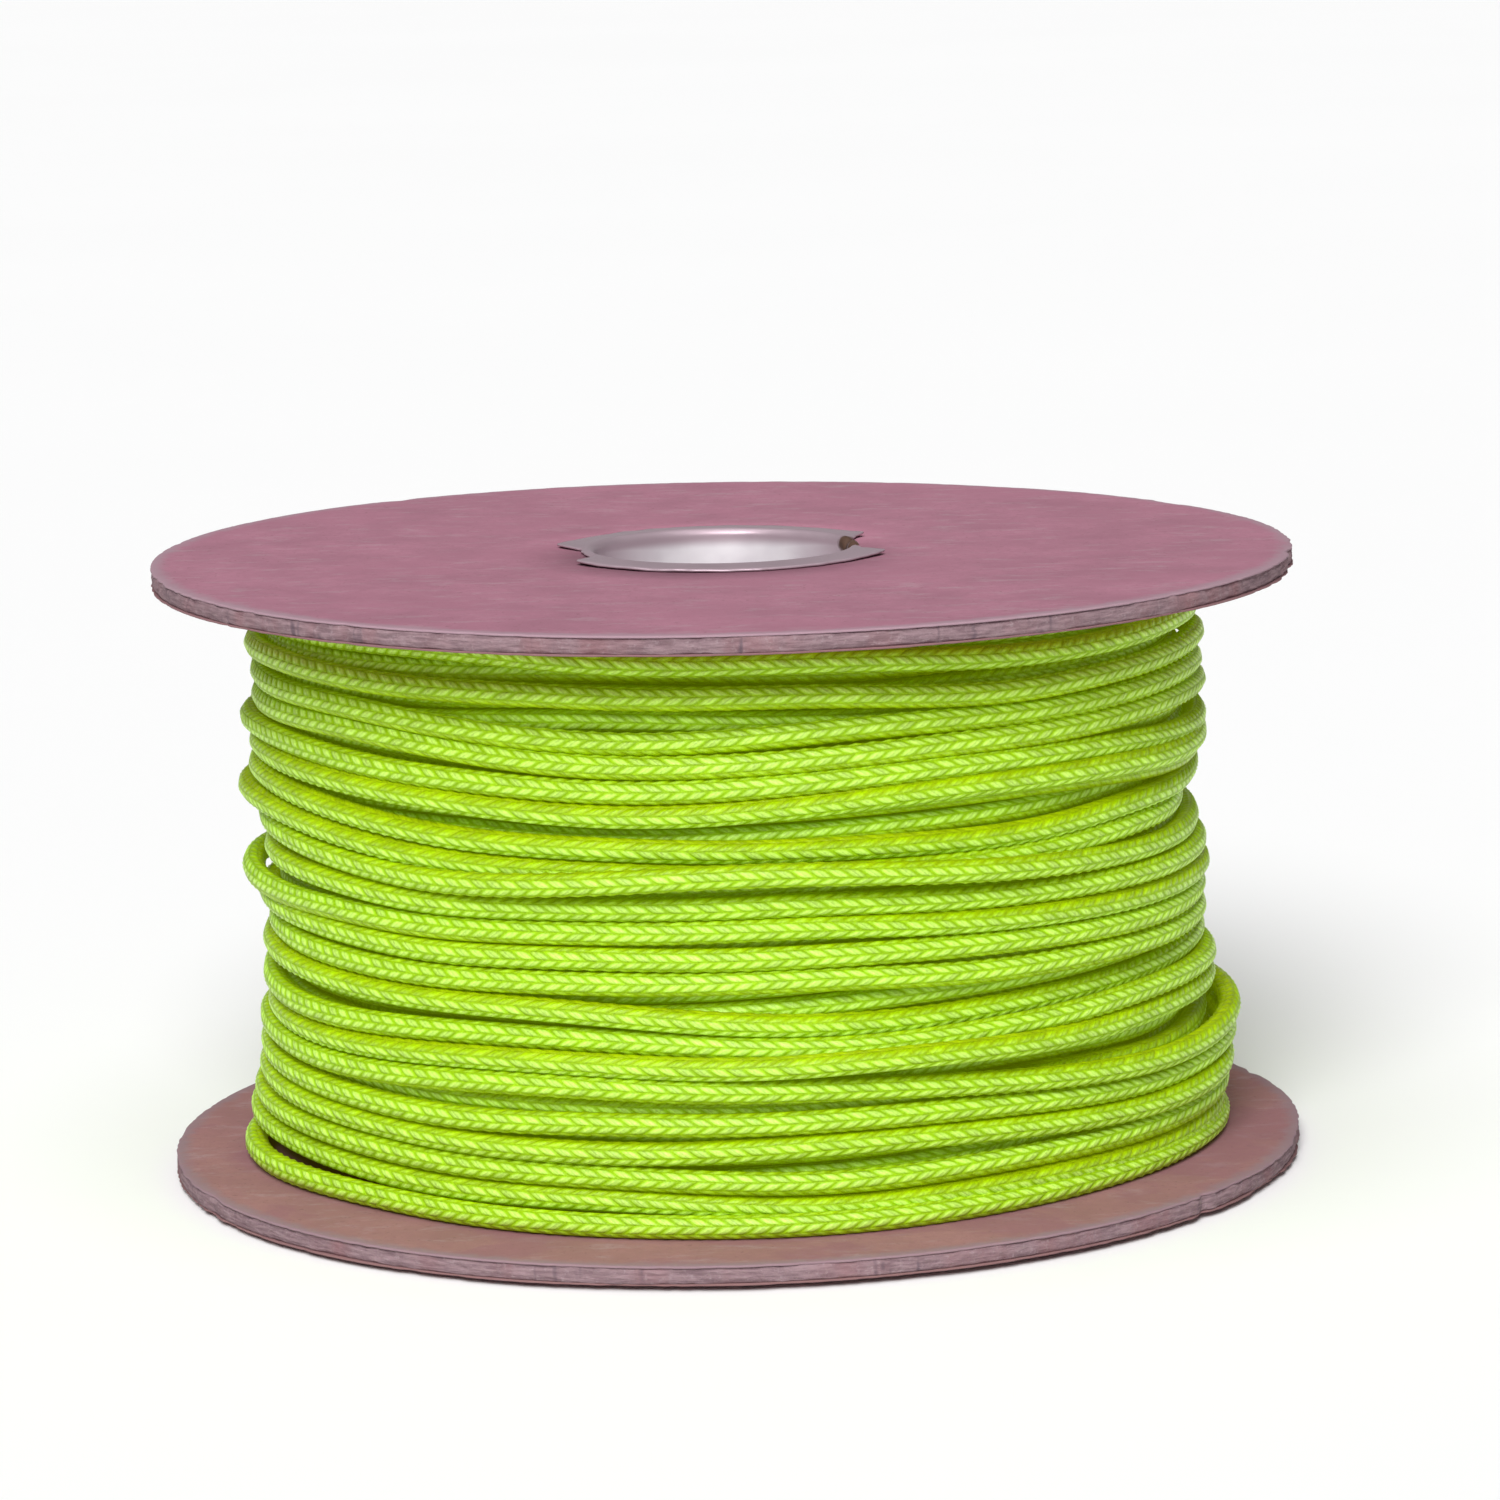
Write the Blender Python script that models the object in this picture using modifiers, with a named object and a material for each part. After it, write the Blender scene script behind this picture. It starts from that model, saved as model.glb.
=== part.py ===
"""A flanged reel of braided cord: two faced board flanges on a paperboard barrel, clamped by a flared tin tube.

Metres, +Z up. The reel stands upright: its axis is Z, and the origin is where the axis meets the surface
that it stands on, under the lower lip of the tin tube.
"""

from math import cos, pi, radians, sin, tan

import bmesh
import bpy
from mathutils import Matrix

# Driving dimensions
FLANGE_RADIUS = 0.070
FLANGE_THICKNESS = 0.0025
HEIGHT_OVER_FLANGES = 0.075
FACING_THICKNESS = 0.0003
GLUE_LINE = 0.0001
FLANGE_HOLE_RADIUS = 0.0165

TUBE_RADIUS = 0.0160
TIN_THICKNESS = 0.0004
LIP_RADIUS = 0.0205
FLARE_RADIUS = 0.0006
LIP_CLEARANCE = 0.0002

BARREL_RADIUS = 0.038
BARREL_WALL = 0.002
JOINT_GAP = 0.0003

CORD_DIAMETER = 0.003
GROOVE_DEPTH = 0.3 * CORD_DIAMETER
PACK_RADIUS = 0.0588
PACK_BULGE = 0.0018
PACK_BULGE_HEIGHT = 0.026

# The lip is torn away in two places, which leave two petals: (middle of the notch, half its width)
LIP_NOTCHES = ((radians(190.5), radians(22.5)), (radians(4.0), radians(24.0)))
NOTCH_ROOT_RADIUS = 0.0169

FLANGE_STEPS = 72
TUBE_STEPS = 60
WINDING_STEPS = 48

# Heights that follow from them
LIP_PROUD = TIN_THICKNESS + LIP_CLEARANCE
TOTAL_HEIGHT = HEIGHT_OVER_FLANGES + 2 * LIP_PROUD
BOARD_THICKNESS = FLANGE_THICKNESS - 2 * (FACING_THICKNESS + GLUE_LINE)
LOWER_INNER_FACE = LIP_PROUD + FLANGE_THICKNESS
UPPER_INNER_FACE = TOTAL_HEIGHT - LOWER_INNER_FACE


def clear_scene():
    for item in list(bpy.data.objects):
        bpy.data.objects.remove(item, do_unlink=True)


def new_collection(name):
    group = bpy.data.collections.new(name)
    bpy.context.scene.collection.children.link(group)
    return group


def plain_material(name, colour, roughness, metallic=0.0):
    material = bpy.data.materials.new(name)
    material.use_nodes = True
    shader = material.node_tree.nodes["Principled BSDF"]
    shader.inputs["Base Color"].default_value = (*colour, 1.0)
    shader.inputs["Roughness"].default_value = roughness
    shader.inputs["Metallic"].default_value = metallic
    material.diffuse_color = (*colour, 1.0)
    return material


def turned(name, outline, steps, material, group):
    """A ring turned about Z. The outline is a closed loop of (radius, height), down its outer side first."""
    mesh = bpy.data.meshes.new(name)
    count = len(outline)
    loop = [(i, (i + 1) % count) for i in range(count)]
    mesh.from_pydata([(radius, 0.0, height) for radius, height in outline], loop, [])
    piece = bpy.data.objects.new(name, mesh)
    group.objects.link(piece)
    screw = piece.modifiers.new("Turn", "SCREW")
    screw.axis = "Z"
    screw.angle = 2 * pi
    screw.steps = steps
    screw.render_steps = steps
    screw.use_merge_vertices = True
    screw.merge_threshold = 0.00001
    screw.use_smooth_shade = True
    piece.data.materials.append(material)
    return piece


def arc(centre, radius, start, end, points):
    """Points on an arc in the (radius, height) plane, ends included. Angles in degrees."""
    turns = [radians(start + (end - start) * i / (points - 1)) for i in range(points)]
    return [(centre[0] + radius * cos(t), centre[1] + radius * sin(t)) for t in turns]


def disc(name, low, high, outer, hole, material, group):
    """A flat ring between two heights."""
    outline = [(outer, high), (outer, low), (hole, low), (hole, high)]
    return turned(name, outline, FLANGE_STEPS, material, group)


def board(name, low, material, group):
    """The pressed-board core of a flange, with its rim's two edges worn a little round."""
    wear = 0.0003
    high = low + BOARD_THICKNESS
    rim = [(FLANGE_RADIUS - wear, high), (FLANGE_RADIUS, high - wear)]
    rim += [(FLANGE_RADIUS, low + wear), (FLANGE_RADIUS - wear, low)]
    hole = [(FLANGE_HOLE_RADIUS, low), (FLANGE_HOLE_RADIUS, high)]
    return turned(name, rim + hole, FLANGE_STEPS, material, group)


def flange(side, bottom, board_material, facing_material, group):
    """A board between two facing papers. The outer paper is the one away from the cord."""
    paper_radius = FLANGE_RADIUS - 0.0002
    low_paper = bottom + FACING_THICKNESS
    board_low = low_paper + GLUE_LINE
    high_paper = board_low + BOARD_THICKNESS + GLUE_LINE
    names = ("outer", "inner") if side == "bottom" else ("inner", "outer")
    layers = ((names[0], bottom, low_paper), (names[1], high_paper, high_paper + FACING_THICKNESS))
    for face, low, high in layers:
        name = f"{side}_flange_{face}_paper"
        disc(name, low, high, paper_radius, FLANGE_HOLE_RADIUS, facing_material, group)
    board(f"{side}_flange_board", board_low, board_material, group)


def flare(outer_side):
    """The quarter turn from the tube's wall out to the top lip, on its outer or its bore side."""
    centre = (TUBE_RADIUS + FLARE_RADIUS, TOTAL_HEIGHT - TIN_THICKNESS - FLARE_RADIUS)
    if outer_side:
        return arc(centre, FLARE_RADIUS, 90, 180, 4)
    return arc(centre, FLARE_RADIUS + TIN_THICKNESS, 180, 90, 5)


def mirrored(points):
    """The same points about the reel's middle height, in the opposite order."""
    return [(radius, TOTAL_HEIGHT - height) for radius, height in reversed(points)]


def notch_cutter(middle, half_width, group):
    """A tall wedge with its edge at the notch's root, which opens outwards to the lip's torn corners."""
    corner_out = LIP_RADIUS * cos(half_width) - NOTCH_ROOT_RADIUS
    corner_across = LIP_RADIUS * sin(half_width)
    spread = corner_across / corner_out / tan(radians(30))
    size = 2 * (LIP_RADIUS - NOTCH_ROOT_RADIUS)
    place = (
        Matrix.Rotation(middle, 4, "Z")
        @ Matrix.Translation((NOTCH_ROOT_RADIUS, 0, TOTAL_HEIGHT / 2))
        @ Matrix.Diagonal((1, spread, 1, 1))
        @ Matrix.Translation((size, 0, 0))
        @ Matrix.Rotation(radians(90), 4, "Z")
    )
    tall = TOTAL_HEIGHT + 0.01
    bm = bmesh.new()
    bmesh.ops.create_cone(bm, cap_ends=True, segments=3, radius1=size, radius2=size, depth=tall, matrix=place)
    mesh = bpy.data.meshes.new("notch_cutter")
    bm.to_mesh(mesh)
    bm.free()
    cutter = bpy.data.objects.new("notch_cutter", mesh)
    cutter.hide_render = True
    cutter.display_type = "WIRE"
    group.objects.link(cutter)
    return cutter


def core_tube(material, group, cutters):
    """The rolled tin tube. Both ends are flared over the flanges, and each lip is torn into two petals."""
    top_lip = (LIP_RADIUS, TOTAL_HEIGHT)
    under_lip = (LIP_RADIUS, TOTAL_HEIGHT - TIN_THICKNESS)
    outer_half = [top_lip, under_lip] + flare(outer_side=True)
    bore_half = flare(outer_side=False)
    outline = outer_half + mirrored(outer_half) + mirrored(bore_half) + bore_half
    tube = turned("core_tube", outline, TUBE_STEPS, material, group)
    for middle, half_width in LIP_NOTCHES:
        cut = tube.modifiers.new("Notch", "BOOLEAN")
        cut.operation = "DIFFERENCE"
        cut.object = notch_cutter(middle, half_width, cutters)
    return tube


def barrel_tube(material, group):
    low = LOWER_INNER_FACE + JOINT_GAP
    high = UPPER_INNER_FACE - JOINT_GAP
    inner = BARREL_RADIUS - BARREL_WALL
    outline = [(BARREL_RADIUS, high), (BARREL_RADIUS, low), (inner, low), (inner, high)]
    return turned("barrel_tube", outline, TUBE_STEPS, material, group)


def pack_radius(height):
    """The winding's outer radius at a height over the lower flange, near which loose turns make it bulge."""
    if height > PACK_BULGE_HEIGHT:
        return PACK_RADIUS
    return PACK_RADIUS + PACK_BULGE * sin(pi * height / PACK_BULGE_HEIGHT)


def cord_winding(material, group):
    """The outer shape of the wound cord: a thick ring, with a groove between each turn and the next."""
    low = LOWER_INNER_FACE + JOINT_GAP
    high = UPPER_INNER_FACE - JOINT_GAP
    turns = int((high - low) / CORD_DIAMETER)
    pitch = (high - low) / turns
    outer = []
    for turn in range(turns):
        top = high - turn * pitch
        crest = pack_radius(top - pitch / 2 - low)
        outer.append((crest - GROOVE_DEPTH, top))
        outer.append((crest, top - 0.3 * pitch))
        outer.append((crest, top - 0.7 * pitch))
    outer.append((crest - GROOVE_DEPTH, low))
    inner = BARREL_RADIUS + JOINT_GAP
    return turned("cord_winding", outer + [(inner, low), (inner, high)], WINDING_STEPS, material, group)


def build():
    clear_scene()
    reel = new_collection("cord_reel")
    cutters = new_collection("cutters")
    grey_board = plain_material("grey_board", (0.27, 0.20, 0.24), 0.9)
    pink_paper = plain_material("pink_paper", (0.41, 0.19, 0.25), 0.85)
    tin = plain_material("tin_plate", (0.72, 0.70, 0.72), 0.28, 1.0)
    brown_board = plain_material("barrel_board", (0.36, 0.27, 0.19), 0.9)
    braid = plain_material("braided_cord", (0.33, 0.74, 0.01), 0.7)

    flange("bottom", LIP_PROUD, grey_board, pink_paper, reel)
    flange("top", UPPER_INNER_FACE, grey_board, pink_paper, reel)
    core_tube(tin, reel, cutters)
    barrel_tube(brown_board, reel)
    cord_winding(braid, reel)


build()
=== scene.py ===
"""The looks of a flanged reel of braided cord: its real winding, braid, faced boards and torn tin core.

Metres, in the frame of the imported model: the reel's axis is Z, and it stands on z = 0.
"""

from math import cos, pi, radians, sin

import bpy
import numpy as np
from mathutils import Matrix, Vector


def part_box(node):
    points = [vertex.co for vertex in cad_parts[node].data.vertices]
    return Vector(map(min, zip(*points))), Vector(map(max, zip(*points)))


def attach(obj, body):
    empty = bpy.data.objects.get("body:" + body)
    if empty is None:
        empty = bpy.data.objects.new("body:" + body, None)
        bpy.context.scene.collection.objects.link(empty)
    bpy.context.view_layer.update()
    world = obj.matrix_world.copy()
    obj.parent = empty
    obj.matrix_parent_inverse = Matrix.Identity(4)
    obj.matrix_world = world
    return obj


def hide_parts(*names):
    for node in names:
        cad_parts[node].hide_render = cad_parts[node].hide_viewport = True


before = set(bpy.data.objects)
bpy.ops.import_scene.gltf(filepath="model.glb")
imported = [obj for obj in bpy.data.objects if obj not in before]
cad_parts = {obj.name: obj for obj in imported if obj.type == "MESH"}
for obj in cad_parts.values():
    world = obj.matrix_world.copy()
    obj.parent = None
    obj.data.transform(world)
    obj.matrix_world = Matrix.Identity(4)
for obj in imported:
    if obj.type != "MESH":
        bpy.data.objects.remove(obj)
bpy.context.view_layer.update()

SEED = 11  # of the wear and of the cord's twist


def read_size(name, corner, axis):
    """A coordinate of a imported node's box, to the micrometre."""
    return round(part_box(name)[corner][axis], 6)


BOTTOM_INNER_FACE = read_size("bottom_flange_inner_paper", 1, 2)
TOP_INNER_FACE = read_size("top_flange_inner_paper", 0, 2)
TOP_OUTER_FACE = read_size("top_flange_outer_paper", 1, 2)
FLANGE_RADIUS = read_size("top_flange_board", 1, 0)
BARREL_RADIUS = read_size("barrel_tube", 1, 0)
TIN_TOP = read_size("core_tube", 1, 2)

# The cord
CORD_LENGTH = 50.0
CORD_DIAMETER = 0.003

# The upper flange isn't quite level: it falls this much for each metre towards +X
UPPER_FALL = 0.0085


# ------------------------------------------------------------------ camera, lights and floor


def place_camera():
    """The viewing angle of the reference: a long lens a little above the upper flange, rolled slightly."""
    aim = Vector((0.0028, 0.0, 0.0505))
    distance, elevation, roll = 0.722, radians(9.63), radians(-1.6)
    back = Vector((0.0, -cos(elevation), sin(elevation)))
    right = Vector((1.0, 0.0, 0.0))
    up = Vector((0.0, sin(elevation), cos(elevation)))
    side = right * cos(roll) + up * sin(roll)
    top = up * cos(roll) - right * sin(roll)
    data = bpy.data.cameras.new("camera")
    data.lens = 139.9
    data.sensor_width = 36.0
    data.clip_start = 0.01
    camera = bpy.data.objects.new("camera", data)
    turn = Matrix((side, top, back)).transposed().to_4x4()
    camera.matrix_world = Matrix.Translation(aim + back * distance) @ turn
    bpy.context.scene.collection.objects.link(camera)
    bpy.context.scene.camera = camera


def soft_light(name, azimuth, elevation, width, strength):
    """A broad soft light, so far away that it lights the whole floor alike. Angles in degrees, from +X."""
    data = bpy.data.lights.new(name, "SUN")
    data.energy = strength
    data.angle = radians(width)
    lamp = bpy.data.objects.new(name, data)
    turn, rise = radians(azimuth), radians(elevation)
    towards = Vector((cos(rise) * cos(turn), cos(rise) * sin(turn), sin(rise)))
    lamp.rotation_euler = towards.to_track_quat("Z", "Y").to_euler()
    lamp.location = towards
    bpy.context.scene.collection.objects.link(lamp)


def place_lights():
    """Two soft suns in front of the reel, under a dim sky that is brighter near the horizon."""
    soft_light("overhead", 255, 76, 50, 1.18)
    soft_light("front_key", 262, 38, 28, 3.1)
    world = bpy.data.worlds.new("studio")
    world.use_nodes = True
    tree = world.node_tree
    direction = node(tree, "ShaderNodeTexCoord").outputs["Generated"]
    height = node(tree, "ShaderNodeSeparateXYZ", {0: direction}).outputs[2]
    strength = between_limits(tree, height, 0.09, 0.22, 0.6, 0.1)
    tree.links.new(strength, tree.nodes["Background"].inputs["Strength"])
    tree.nodes["Background"].inputs["Color"].default_value = (1.0, 1.0, 1.0, 1.0)
    bpy.context.scene.world = world
    bpy.context.scene.view_settings.view_transform = "Standard"


# ------------------------------------------------------------------ material nodes


def new_material(name):
    """A material, its tree and its shader."""
    material = bpy.data.materials.new(name)
    material.use_nodes = True
    return material, material.node_tree, material.node_tree.nodes["Principled BSDF"]


def node(tree, kind, inputs=None, **settings):
    """A node of this kind. An input is either a value or the socket that it is read from."""
    made = tree.nodes.new(kind)
    for key, value in settings.items():
        setattr(made, key, value)
    for key, value in (inputs or {}).items():
        if isinstance(value, bpy.types.NodeSocket):
            tree.links.new(value, made.inputs[key])
        else:
            made.inputs[key].default_value = value
    return made


def maths(tree, operation, first, second=0.0):
    return node(tree, "ShaderNodeMath", {0: first, 1: second}, operation=operation).outputs[0]


def mixed(tree, factor, first, second, blend="MIX"):
    """A colour between two, each a socket or an (r, g, b) triple."""
    first, second = (c if isinstance(c, bpy.types.NodeSocket) else (*c, 1.0) for c in (first, second))
    inputs = {0: factor, 6: first, 7: second}
    return node(tree, "ShaderNodeMix", inputs, data_type="RGBA", blend_type=blend).outputs[2]


def between_limits(tree, value, low, high, to_low=0.0, to_high=1.0):
    """The value's place between two limits, eased and held at both ends."""
    inputs = {"Value": value, "From Min": low, "From Max": high, "To Min": to_low, "To Max": to_high}
    return node(tree, "ShaderNodeMapRange", inputs, interpolation_type="SMOOTHSTEP").outputs[0]


def noise(tree, place, scale, detail=2.0, roughness=0.5, distortion=0.0):
    inputs = {"Vector": place, "Scale": scale, "Detail": detail, "Roughness": roughness}
    inputs["Distortion"] = distortion
    return node(tree, "ShaderNodeTexNoise", inputs).outputs[0]


def stretched(tree, place, sizes):
    """The place with each axis scaled."""
    return node(tree, "ShaderNodeVectorMath", {0: place, 1: sizes}, operation="MULTIPLY").outputs[0]


def object_place(tree):
    return node(tree, "ShaderNodeTexCoord").outputs["Object"]


def from_axis(tree, place):
    """The place's distance from the reel's axis."""
    flat = stretched(tree, place, (1.0, 1.0, 0.0))
    return node(tree, "ShaderNodeVectorMath", {0: flat}, operation="LENGTH").outputs[1]


def from_middle(tree, value):
    """The value's place between two whole numbers, from -1 over 0 half way to 1."""
    part = maths(tree, "SUBTRACT", maths(tree, "FRACT", value), 0.5)
    return maths(tree, "MULTIPLY", part, 2.0)


def bump(tree, shader, height, depth, strength=1.0):
    """Fine relief of this depth in metres."""
    inputs = {"Height": height, "Strength": strength, "Distance": depth}
    relief = node(tree, "ShaderNodeBump", inputs).outputs[0]
    tree.links.new(relief, shader.inputs["Normal"])


# ------------------------------------------------------------------ mesh building


def leaned(points):
    """The points with the reel's slight skew: level at its foot, and falling towards +X at its top."""
    moved = np.array(points, dtype=float)
    moved[..., 2] -= UPPER_FALL * moved[..., 0] * moved[..., 2] / TOP_OUTER_FACE
    return moved


def quad_mesh(name, points, faces):
    """A smooth mesh object of four-cornered faces, with the reel's lean applied to its points."""
    mesh = bpy.data.meshes.new(name)
    mesh.vertices.add(len(points))
    mesh.vertices.foreach_set("co", leaned(points).astype(np.float32).ravel())
    mesh.loops.add(faces.size)
    mesh.loops.foreach_set("vertex_index", faces.astype(np.int32).ravel())
    mesh.polygons.add(len(faces))
    mesh.polygons.foreach_set("loop_start", np.arange(0, faces.size, 4, dtype=np.int32))
    mesh.update(calc_edges=True)
    mesh.shade_smooth()
    piece = bpy.data.objects.new(name, mesh)
    bpy.context.scene.collection.objects.link(piece)
    return piece


def grid_faces(rows, columns, row_count, column_count):
    """Faces between the corners of a grid, which closes on itself where a count reaches the grid's size.

    Returns the corners of each face, and its row and column.
    """
    i, j = (x.ravel() for x in np.meshgrid(np.arange(row_count), np.arange(column_count), indexing="ij"))
    i_next, j_next = (i + 1) % rows, (j + 1) % columns
    corners = [i * columns + j, i * columns + j_next, i_next * columns + j_next, i_next * columns + j]
    return np.stack(corners, axis=1), i, j


def turned(name, radius, height, angle):
    """A closed ring whose outline may change with the angle. Both arrays are (angles, outline points)."""
    points = np.stack([radius * np.cos(angle)[:, None], radius * np.sin(angle)[:, None], height], axis=-1)
    steps, count = radius.shape
    return quad_mesh(name, points.reshape(-1, 3), grid_faces(steps, count, steps, count)[0])


def ring_noise(rng, count, width):
    """A smooth random walk of unit size round a ring, with bumps about this many steps wide."""
    waves = np.fft.rfft(rng.normal(size=count))
    waves *= np.exp(-2 * (pi * width * np.arange(len(waves)) / count) ** 2)
    walk = np.fft.irfft(waves, count)
    return (walk - walk.mean()) / walk.std()


def bell(angle, middle, spread):
    """1 at the middle angle, falling to 0 a few spreads away from it. Degrees."""
    apart = (np.degrees(angle) - middle + 180) % 360 - 180
    return np.exp(-((apart / spread) ** 2))


def settle(piece, material, slot, *nodes):
    """Gives a finished piece its material, hangs it under the root body, and hides the imported nodes that it
    stands for.
    """
    piece.data.materials.append(material)
    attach(piece, "root")
    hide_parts(*nodes)


# ------------------------------------------------------------------ the winding

WINDING_SEED = 87
COLUMNS = 96  # steps in which one turn is laid
TURNS_PER_LAYER = 22
LAYERS = 8
TAIL = COLUMNS // 4  # the steps past the last whole turn, in which the cord's end is tucked in
UNDER_TURNS = 3 * TURNS_PER_LAYER  # how many turns back the cord may find one to lie on
FRESH = COLUMNS // 8  # the newest steps, which aren't drawn taut until the next turn is laid
SIDE_PITCH = 0.00285  # the cord flattens a little where turns touch side by side
STACK_PITCH = 0.0028  # and more where one lies on another
BRIDGED = 3  # the reach in steps of the dips that the taut cord bridges
STEP_SLOPE = 0.0003  # the most that a turn moves along the reel's axis in one step
HOLD = 1.1  # how firmly the guide holds the cord at its place, against sliding into a groove
WANDER = (0.0006, 0.0014)  # how far the hand that lays the cord strays, in the first layer and in the last
RIPPLE = 0.0004  # and how far its tension makes it ripple
STEADY_TURNS = 4  # the last turns, over which the hand strays less and less
LEAST_STRAY = 0.15  # down to this share
SETTLE = 0.0024  # how far the last turn is let down towards the flange
SETTLE_TURNS = 1.5  # and over how many turns
TUCKED_STEPS = 16  # the steps in which the cord's end dives in under the turn above it
TUCK_DEPTH = 0.0048
TUCK_RISE = 0.0016
PART_SCALE = 2.3  # brings the peak of x * exp(-x * x) to about 1
LOWEST = BOTTOM_INNER_FACE + CORD_DIAMETER / 2
HIGHEST = TOP_INNER_FACE - CORD_DIAMETER / 2

# Turns of the last layer that stand off, or are sunk in:
# (height, angle in degrees, how far, spread in degrees, how far the turn sags on its way past)
LOOSE = (
    (0.0568, 181, 0.0020, 14, 0.0),
    (0.0539, 181, 0.0006, 14, 0.0),
    (0.0510, 181, 0.0008, 14, 0.0),
    (0.0482, 181, 0.0018, 14, 0.0),
    (0.0452, 181, -0.0008, 14, 0.0),
    (0.0415, 181, -0.0014, 14, 0.0),
    (0.0383, 181, 0.0024, 13, 0.0016),
    (0.0326, 181, -0.0016, 16, 0.0),
    (0.0298, 181, -0.0009, 14, 0.0),
    (0.0256, 181, -0.0008, 14, 0.0),
    (0.0227, 181, -0.0012, 14, 0.0),
    (0.0109, 181, 0.0008, 14, 0.0),
    (0.0080, 181, 0.0022, 16, 0.0008),
    (0.0046, 186, 0.0034, 20, 0.0),
    (0.0046, 208, 0.0020, 16, 0.0),
    (0.0046, 318, -0.0017, 34, 0.0),
    (0.0650, -2, 0.0010, 16, 0.0),
    (0.0530, -2, -0.0024, 16, 0.0),
    (0.0492, -2, -0.0006, 14, 0.0),
    (0.0463, -2, -0.0028, 16, 0.0),
    (0.0420, -2, -0.0007, 14, 0.0),
    (0.0378, -2, 0.0006, 14, 0.0),
    (0.0248, -2, 0.0008, 14, 0.0),
    (0.0219, -2, 0.0008, 14, 0.0),
    (0.0182, -2, 0.0016, 16, 0.0),
    (0.0152, -4, 0.0029, 20, 0.0),
    (0.0123, -6, 0.0026, 20, 0.0),
    (0.0094, -8, 0.0026, 18, 0.0),
    (0.0066, -8, 0.0012, 18, 0.0),
)

# Where the cord was fed on crossing its neighbours on the way down:
# (height, angle in degrees, how far, spread in degrees)
CROSSINGS = (
    (0.0575, 320, 0.0032, 22),
    (0.0440, 275, 0.0034, 24),
    (0.0310, 245, 0.0034, 22),
    (0.0210, 290, 0.0034, 22),
    (0.0130, 250, 0.0024, 22),
)

# Where neighbouring turns of the last layer part:
# (height, angle in degrees, how far, spread in degrees)
PARTED = (
    (0.0685, 245, 0.0006, 30),
    (0.0680, 300, 0.0007, 30),
    (0.0668, 290, 0.0003, 11),
    (0.0641, 283, 0.0004, 11),
    (0.0633, 320, 0.0004, 8),
    (0.0598, 283, 0.0007, 8),
    (0.0587, 334, 0.0004, 8),
    (0.0573, 224, 0.0008, 11),
    (0.0534, 304, 0.0006, 13),
    (0.0499, 307, 0.0004, 10),
    (0.0366, 276, 0.0005, 11),
    (0.0348, 300, 0.0004, 8),
    (0.0150, 256, 0.0006, 10),
    (0.0115, 193, 0.0005, 8),
    (0.0073, 198, 0.0005, 8),
)


def smoothed(values, width):
    """The values under a bell-shaped average, with their ends held."""
    reach = int(4 * width)
    weights = np.exp(-0.5 * (np.arange(-reach, reach + 1) / width) ** 2)
    return np.convolve(np.pad(values, reach, mode="edge"), weights / weights.sum(), mode="valid")


def wander(rng, count, width, likeness):
    """A smooth random walk of unit size along the cord, in which each turn is partly like the one before."""
    walk = smoothed(rng.normal(size=count), width)
    walk /= walk.std()
    for i in range(COLUMNS, count):
        walk[i] += likeness * (walk[i - COLUMNS] - walk[i])
    return walk


def closed_dips(values, reach):
    """Values with dips narrower than the reach bridged, as a taut cord bridges them."""
    count = len(values)
    wide = np.pad(values, reach, mode="edge")
    tops = np.max([wide[k : k + count] for k in range(2 * reach + 1)], axis=0)
    wide = np.pad(tops, reach, mode="edge")
    return np.min([wide[k : k + count] for k in range(2 * reach + 1)], axis=0)


def swing(past, reach, fade):
    """A shift one way before a place and the other way past it, which fades out on both sides."""
    return reach * np.tanh(1.5 * past) * np.exp(-((past / fade) ** 2))


def guide_heights(rng, count):
    """The height at which the cord is fed on at each step: to and fro between the flanges, and down last."""
    turn = np.arange(count) / COLUMNS
    sweep = np.abs((turn / TURNS_PER_LAYER + 1) % 2 - 1)
    guide = LOWEST + (HIGHEST - LOWEST) * sweep
    pitch = (HIGHEST - LOWEST) / TURNS_PER_LAYER
    for height, middle, reach, spread in CROSSINGS:
        crossing_turns = round((height - LOWEST) / pitch + middle / 360) - middle / 360
        past = (turn - LAYERS * TURNS_PER_LAYER + crossing_turns) * 360 / spread
        guide -= swing(past, reach, 3)
    turns_left = turn[-1] - turn
    guide -= SETTLE * np.clip(1 - turns_left / SETTLE_TURNS, 0.0, 1.0)
    strays = np.linspace(*WANDER, count) * np.clip(turns_left / STEADY_TURNS, LEAST_STRAY, 1.0)
    return guide + RIPPLE * wander(rng, count, 4, 0.3) + strays * wander(rng, count, 14, 0.3)


def step_at(height, at_height, middle):
    """The step at which the last layer passes a place, given by its height and its angle in degrees."""
    first = (LAYERS - 1) * TURNS_PER_LAYER * COLUMNS + 1
    column = round(middle * COLUMNS / 360) % COLUMNS
    passes = np.arange(first + (column - first) % COLUMNS, len(height), COLUMNS)
    return passes[np.abs(height[passes] - at_height).argmin()]


def loosened(height, radius):
    """The laid cord with turns of its last layer let out, sunk in or parted as listed, and its end tucked."""
    step = np.arange(len(height))
    angle = 2 * pi * step / COLUMNS
    lift, shift = np.zeros(len(height)), np.zeros(len(height))
    for at_height, middle, stand_off, spread, sag in LOOSE:
        past = (step - step_at(height, at_height, middle)) * 360 / COLUMNS / spread
        lift += stand_off * np.exp(-(past**2))
        shift -= swing(past, sag, 2)
    for at_height, middle, gap, spread in PARTED:
        turns_past = (step - step_at(height, at_height + CORD_DIAMETER / 2, middle)) / COLUMNS - 0.5
        shift -= gap * PART_SCALE * turns_past * np.exp(-(turns_past**2)) * bell(angle, middle, spread)
    tucked = np.clip((step - step[-1]) / TUCKED_STEPS + 1, 0.0, 1.0) ** 2
    return np.clip(height + shift + TUCK_RISE * tucked, LOWEST, HIGHEST), radius + lift - TUCK_DEPTH * tucked


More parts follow.
